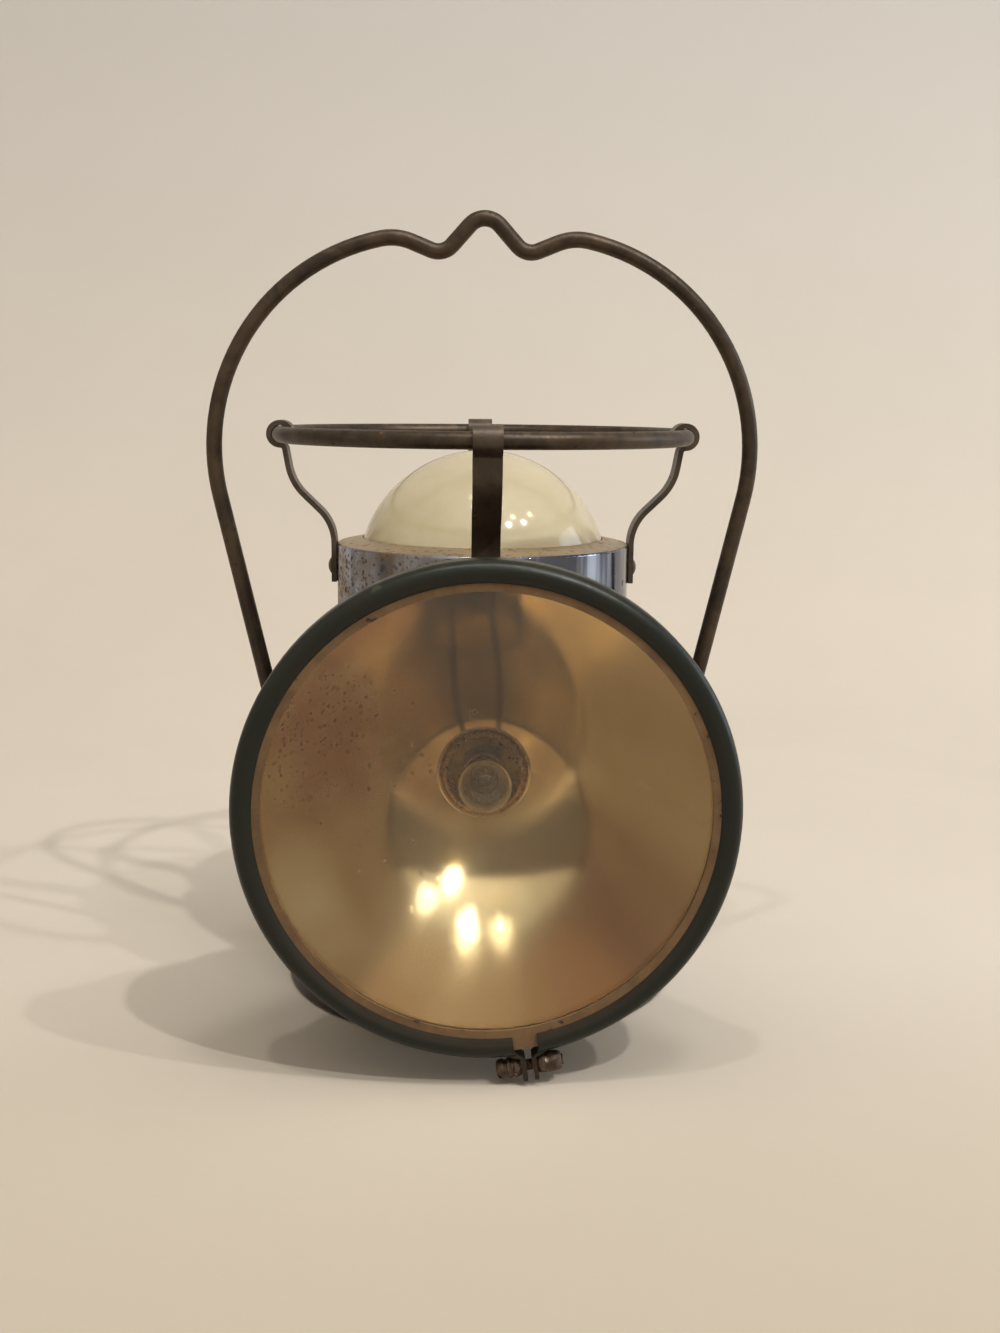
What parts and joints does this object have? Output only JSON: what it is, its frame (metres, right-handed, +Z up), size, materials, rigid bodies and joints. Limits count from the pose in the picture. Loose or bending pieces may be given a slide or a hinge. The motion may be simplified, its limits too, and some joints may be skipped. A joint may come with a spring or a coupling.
{
  "type": "railroad lantern",
  "caption": "Hand lantern with a round battery case, a wide spotlight in its front, a glass dome lamp on top under a wire guard ring, and a swinging wire bail.",
  "frame": {"origin": "centre of the base cup's underside, where the lantern stands", "axes": "+Z up along the lantern's own axis, -Y the way the spotlight faces, +X to the right as seen from the spotlight's side"},
  "size_m": [0.1658, 0.1586, 0.2322],
  "materials": {
    "case_paint": "worn semi-gloss dark green-black enamel",
    "rim_paint": "worn semi-gloss dark green enamel",
    "foot_paint": "dark brown-black enamel",
    "dark_wire": "steel darkened to a bronze brown, worn along the top",
    "rivet_steel": "dull brown steel",
    "rusty_steel": "rust-brown steel",
    "collar_plate": "worn plating with pits of rust",
    "nickel": "dull nickel plating",
    "zinc_plate": "dull zinc-plated sheet",
    "reflector_gold": "polished sheet, tarnished to gold, with brown specks",
    "ring_brass": "brown tarnished sheet",
    "brass": "dull brass",
    "dark_fibre": "dark brown pressed fibre",
    "lens_glass": "clear, slightly dusty",
    "dome_glass": "clear, aged to a cream tint",
    "bulb_glass": "clear",
    "filament": "fine dark wire",
    "spring_steel": "bright spring wire",
    "old_rubber": "aged reddish brown",
    "black_rubber": "matte",
    "felt": "pressed felt",
    "white_enamel": "white enamel, slightly yellowed",
    "battery_jacket": "plain dark red jacket",
    "battery_top": "black lacquered sheet",
    "switch_bakelite": "moulded, dark brown-black",
    "lead_cover": "cotton and rubber cover"
  },
  "bodies": {
    "case": {"case_shell": "case_paint", "spotlight_housing": "case_paint", "rim_band": "rim_paint", "bail_ear_left": "dark_wire", "bail_ear_right": "dark_wire", "ear_rivets": "rivet_steel", "clamp_nut": "rusty_steel", "switch_nut": "nickel", "neck_plate": "zinc_plate", "board_posts": "zinc_plate", "battery_lid": "battery_top", "reflector": "reflector_gold", "socket_ring": "ring_brass", "spot_socket": "brass", "top_socket": "brass", "socket_contacts": "brass", "contact_plates": "brass", "switch_lugs": "brass", "board_screws": "brass", "spot_bulb_cap": "brass", "top_bulb_cap": "brass", "spot_insulator": "dark_fibre", "top_insulator": "dark_fibre", "contact_board": "dark_fibre", "lens_glass": "lens_glass", "spot_bulb_glass": "bulb_glass", "top_bulb_glass": "bulb_glass", "spot_filament": "filament", "top_filament": "filament", "spring_terminals": "spring_steel", "lens_gasket": "old_rubber", "top_reflector": "white_enamel", "battery": "battery_jacket", "switch_body": "switch_bakelite", "battery_lead": "lead_cover", "spot_lead": "lead_cover", "top_lead": "lead_cover"},
    "base": {"base_cup": "foot_paint", "base_pad": "felt"},
    "top": {"collar": "collar_plate", "dome_glass": "dome_glass", "dome_gasket": "black_rubber", "dome_retainer": "zinc_plate", "guard_ring": "dark_wire", "strap_front": "dark_wire", "strap_back": "dark_wire", "strap_left": "dark_wire", "strap_right": "dark_wire", "strap_rivets": "rivet_steel"},
    "bail": {"bail_wire": "dark_wire"},
    "clamp": {"clamp_screw": "rusty_steel"},
    "knob": {"switch_spindle": "nickel", "switch_knob": "switch_bakelite", "knob_screw": "brass"}
  },
  "joints": [
    {"name": "bail_swing", "type": "hinge", "parent": "case", "child": "bail", "pos_m": [0, 0, 0.086], "axis": [1, 0, 0], "range_deg": [-115, 115]},
    {"name": "collar_twist", "type": "hinge", "parent": "case", "child": "top", "pos_m": [0, 0, 0.1264], "axis": [0, 0, 1], "range_deg": [0, 30]},
    {"name": "base_twist", "type": "hinge", "parent": "case", "child": "base", "pos_m": [0, 0, 0.007], "axis": [0, 0, 1], "range_deg": [0, 30]},
    {"name": "clamp_turn", "type": "hinge", "parent": "case", "child": "clamp", "pos_m": [0.01163, -0.08538, 0.00529], "axis": [0.9857, 0, 0.1685], "continuous": true},
    {"name": "switch_turn", "type": "hinge", "parent": "case", "child": "knob", "pos_m": [0, 0.06, 0.084], "axis": [0, 1, 0], "range_deg": [-45, 45]}
  ]
}
